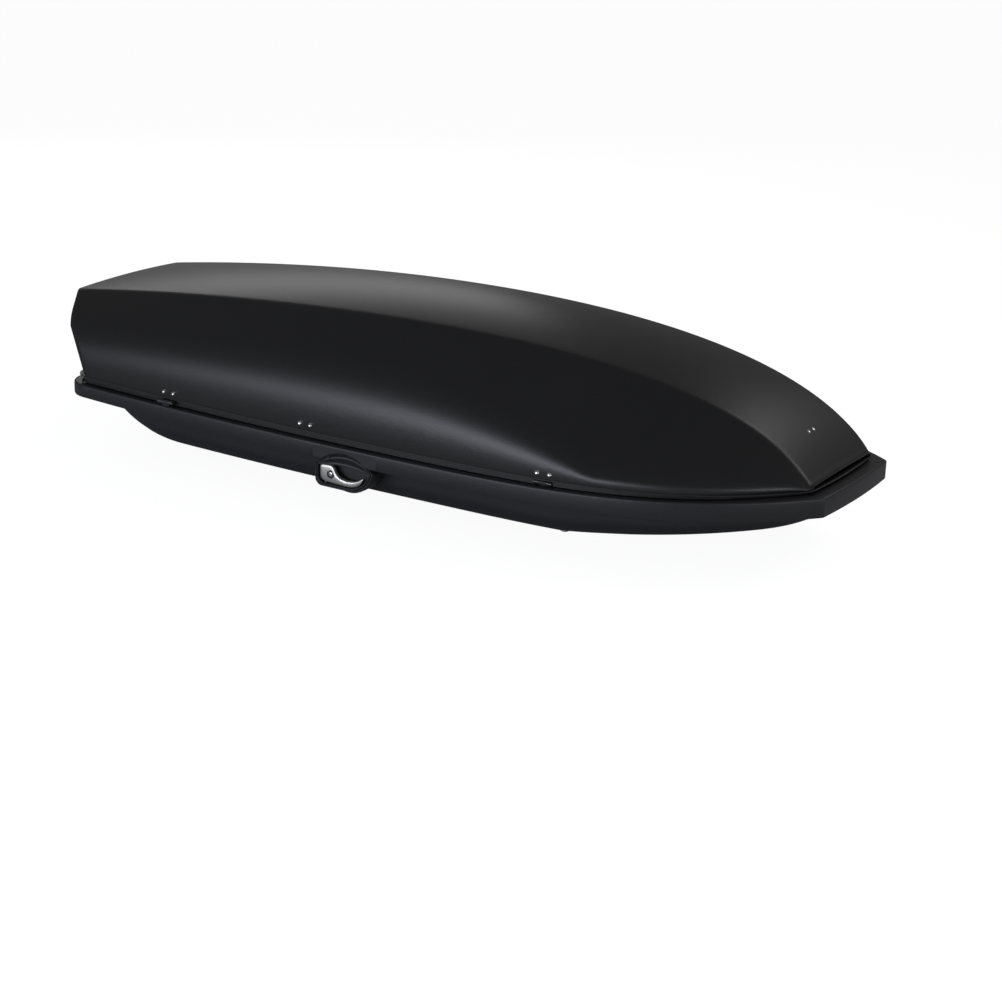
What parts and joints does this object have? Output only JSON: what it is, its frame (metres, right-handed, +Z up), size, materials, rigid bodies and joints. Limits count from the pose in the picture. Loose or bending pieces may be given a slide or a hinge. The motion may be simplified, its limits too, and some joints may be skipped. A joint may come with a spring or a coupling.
{
  "type": "roof cargo box",
  "caption": "Long tapered roof cargo box with a sculpted lid that opens from either side, flush side handles, lid lifters and crossbar clamps.",
  "frame": {"origin": "under the middle of the box, at the lowest point of the crossbar clamps", "axes": "+X forwards to the tapered nose, +Y to the far side, +Z up"},
  "size_m": [2.0582, 0.838, 0.4571],
  "materials": {
    "lid_plastic": "textured dark grey sheet with a satin top",
    "base_plastic": "black textured sheet",
    "housing_nickel": "satin nickel paint over moulded plastic",
    "black_moulding": "fine grained black moulding",
    "steel": "zinc plated",
    "rivet_metal": "bright low heads",
    "lifter_black": "gloss black tube",
    "lock_metal": "polished lock face",
    "knob_plastic": "dark red knob"
  },
  "bodies": {
    "base": {"base_shell": "base_plastic", "near_handle_housing": "housing_nickel", "near_handle_pin": "steel", "near_claw_guides": "black_moulding", "near_clamp_bolts": "steel", "near_rear_clamp_saddle": "black_moulding", "near_rear_clamp_plate": "steel", "near_front_clamp_saddle": "black_moulding", "near_front_clamp_plate": "steel", "far_handle_housing": "housing_nickel", "far_handle_pin": "steel", "far_claw_guides": "black_moulding", "far_clamp_bolts": "steel", "far_rear_clamp_saddle": "black_moulding", "far_rear_clamp_plate": "steel", "far_front_clamp_saddle": "black_moulding", "far_front_clamp_plate": "steel"},
    "lid": {"lid_shell": "lid_plastic", "lid_rib_rear": "black_moulding", "lid_rib_front": "black_moulding", "nose_bracket": "steel", "nose_rivets": "rivet_metal", "near_lid_brackets": "steel", "near_lid_rivets": "rivet_metal", "far_lid_brackets": "steel", "far_lid_rivets": "rivet_metal"},
    "near_feet": {"near_hinge_feet": "black_moulding", "near_hinge_pins": "black_moulding"},
    "near_latch_bar": {"near_latch_bar": "steel"},
    "near_handle": {"near_handle": "housing_nickel"},
    "near_lock": {"near_lock_cylinder": "lock_metal"},
    "near_rear_tube": {"near_rear_lifter_tube": "lifter_black"},
    "near_rear_rod": {"near_rear_lifter_rod": "steel"},
    "near_rear_jaw": {"near_rear_clamp_jaw": "steel"},
    "near_rear_knob": {"near_rear_clamp_knob": "knob_plastic"},
    "near_front_tube": {"near_front_lifter_tube": "lifter_black"},
    "near_front_rod": {"near_front_lifter_rod": "steel"},
    "near_front_jaw": {"near_front_clamp_jaw": "steel"},
    "near_front_knob": {"near_front_clamp_knob": "knob_plastic"},
    "far_feet": {"far_hinge_feet": "black_moulding", "far_hinge_pins": "black_moulding"},
    "far_latch_bar": {"far_latch_bar": "steel"},
    "far_handle": {"far_handle": "housing_nickel"},
    "far_lock": {"far_lock_cylinder": "lock_metal"},
    "far_rear_tube": {"far_rear_lifter_tube": "lifter_black"},
    "far_rear_rod": {"far_rear_lifter_rod": "steel"},
    "far_rear_jaw": {"far_rear_clamp_jaw": "steel"},
    "far_rear_knob": {"far_rear_clamp_knob": "knob_plastic"},
    "far_front_tube": {"far_front_lifter_tube": "lifter_black"},
    "far_front_rod": {"far_front_lifter_rod": "steel"},
    "far_front_jaw": {"far_front_clamp_jaw": "steel"},
    "far_front_knob": {"far_front_clamp_knob": "knob_plastic"}
  },
  "joints": [
    {"name": "near_side_opening", "type": "hinge", "parent": "base", "child": "near_feet", "pos_m": [0, 0.3885, 0.1711], "axis": [-1, 0, 0], "range_deg": [0, 45]},
    {"name": "far_side_opening", "type": "hinge", "parent": "near_feet", "child": "lid", "pos_m": [0, -0.3885, 0.1711], "axis": [1, 0, 0], "range_deg": [0, 45]},
    {"name": "far_feet_hold", "type": "hinge", "parent": "lid", "child": "far_feet", "pos_m": [0, 0.3885, 0.1711], "axis": [-1, 0, 0], "range_deg": [-45, 0]},
    {"name": "near_rear_lifter_swing", "type": "hinge", "parent": "lid", "child": "near_rear_tube", "pos_m": [-0.5819, -0.2921, 0.286], "axis": [1, 0, 0], "range_deg": [-6.5, 0]},
    {"name": "near_rear_lifter_slide", "type": "slide", "parent": "near_rear_tube", "child": "near_rear_rod", "axis": [0, -0.2833, -0.959], "range_m": [0, 0.0426]},
    {"name": "near_front_lifter_swing", "type": "hinge", "parent": "lid", "child": "near_front_tube", "pos_m": [0.4635, -0.2921, 0.286], "axis": [1, 0, 0], "range_deg": [-6.5, 0]},
    {"name": "near_front_lifter_slide", "type": "slide", "parent": "near_front_tube", "child": "near_front_rod", "axis": [0, -0.2833, -0.959], "range_m": [0, 0.0426]},
    {"name": "near_handle_pull", "type": "hinge", "parent": "base", "child": "near_handle", "pos_m": [-0.1105, -0.40642, 0.0981], "axis": [0, 0, -1], "range_deg": [0, 40], "stiffness_Nm_per_rad": 0.6},
    {"name": "near_lock_turn", "type": "hinge", "parent": "near_handle", "child": "near_lock", "pos_m": [-0.0915, -0.41042, 0.0921], "axis": [0, 1, 0], "range_deg": [0, 90]},
    {"name": "near_latch_slide", "type": "slide", "parent": "base", "child": "near_latch_bar", "axis": [1, 0, 0], "range_m": [0, 0.0163]},
    {"name": "near_rear_knob_turn", "type": "hinge", "parent": "base", "child": "near_rear_knob", "pos_m": [-0.2727, -0.2, 0.0571], "axis": [0, 0, 1], "range_deg": [0, 1080]},
    {"name": "near_rear_jaw_slide", "type": "slide", "parent": "base", "child": "near_rear_jaw", "axis": [0, 0, -1], "range_m": [0, 0.0121]},
    {"name": "near_front_knob_turn", "type": "hinge", "parent": "base", "child": "near_front_knob", "pos_m": [0.4323, -0.2, 0.0571], "axis": [0, 0, 1], "range_deg": [0, 1080]},
    {"name": "near_front_jaw_slide", "type": "slide", "parent": "base", "child": "near_front_jaw", "axis": [0, 0, -1], "range_m": [0, 0.0121]},
    {"name": "far_rear_lifter_swing", "type": "hinge", "parent": "lid", "child": "far_rear_tube", "pos_m": [-0.5819, 0.2921, 0.286], "axis": [-1, 0, 0], "range_deg": [-6.5, 0]},
    {"name": "far_rear_lifter_slide", "type": "slide", "parent": "far_rear_tube", "child": "far_rear_rod", "axis": [0, 0.2833, -0.959], "range_m": [0, 0.0426]},
    {"name": "far_front_lifter_swing", "type": "hinge", "parent": "lid", "child": "far_front_tube", "pos_m": [0.4635, 0.2921, 0.286], "axis": [-1, 0, 0], "range_deg": [-6.5, 0]},
    {"name": "far_front_lifter_slide", "type": "slide", "parent": "far_front_tube", "child": "far_front_rod", "axis": [0, 0.2833, -0.959], "range_m": [0, 0.0426]},
    {"name": "far_handle_pull", "type": "hinge", "parent": "base", "child": "far_handle", "pos_m": [-0.1105, 0.40642, 0.0981], "axis": [0, 0, 1], "range_deg": [0, 40], "stiffness_Nm_per_rad": 0.6},
    {"name": "far_lock_turn", "type": "hinge", "parent": "far_handle", "child": "far_lock", "pos_m": [-0.0915, 0.41042, 0.0921], "axis": [0, -1, 0], "range_deg": [0, 90]},
    {"name": "far_latch_slide", "type": "slide", "parent": "base", "child": "far_latch_bar", "axis": [1, 0, 0], "range_m": [0, 0.0163]},
    {"name": "far_rear_knob_turn", "type": "hinge", "parent": "base", "child": "far_rear_knob", "pos_m": [-0.2727, 0.2, 0.0571], "axis": [0, 0, 1], "range_deg": [0, 1080]},
    {"name": "far_rear_jaw_slide", "type": "slide", "parent": "base", "child": "far_rear_jaw", "axis": [0, 0, -1], "range_m": [0, 0.0121]},
    {"name": "far_front_knob_turn", "type": "hinge", "parent": "base", "child": "far_front_knob", "pos_m": [0.4323, 0.2, 0.0571], "axis": [0, 0, 1], "range_deg": [0, 1080]},
    {"name": "far_front_jaw_slide", "type": "slide", "parent": "base", "child": "far_front_jaw", "axis": [0, 0, -1], "range_m": [0, 0.0121]}
  ],
  "couplings": [
    {"joint": "far_feet_hold", "follows": "near_side_opening", "ratio": -1},
    {"joint": "near_rear_lifter_swing", "follows": "far_side_opening", "ratio": -0.14},
    {"joint": "near_rear_lifter_slide", "follows": "far_side_opening", "m_per_rad": 0.054},
    {"joint": "near_front_lifter_swing", "follows": "far_side_opening", "ratio": -0.14},
    {"joint": "near_front_lifter_slide", "follows": "far_side_opening", "m_per_rad": 0.054},
    {"joint": "near_latch_slide", "follows": "near_handle_pull", "m_per_rad": 0.0232},
    {"joint": "near_rear_jaw_slide", "follows": "near_rear_knob_turn", "m_per_rad": 0.00063662},
    {"joint": "near_front_jaw_slide", "follows": "near_front_knob_turn", "m_per_rad": 0.00063662},
    {"joint": "far_rear_lifter_swing", "follows": "near_side_opening", "ratio": -0.14},
    {"joint": "far_rear_lifter_slide", "follows": "near_side_opening", "m_per_rad": 0.054},
    {"joint": "far_front_lifter_swing", "follows": "near_side_opening", "ratio": -0.14},
    {"joint": "far_front_lifter_slide", "follows": "near_side_opening", "m_per_rad": 0.054},
    {"joint": "far_latch_slide", "follows": "far_handle_pull", "m_per_rad": 0.0232},
    {"joint": "far_rear_jaw_slide", "follows": "far_rear_knob_turn", "m_per_rad": 0.00063662},
    {"joint": "far_front_jaw_slide", "follows": "far_front_knob_turn", "m_per_rad": 0.00063662}
  ]
}
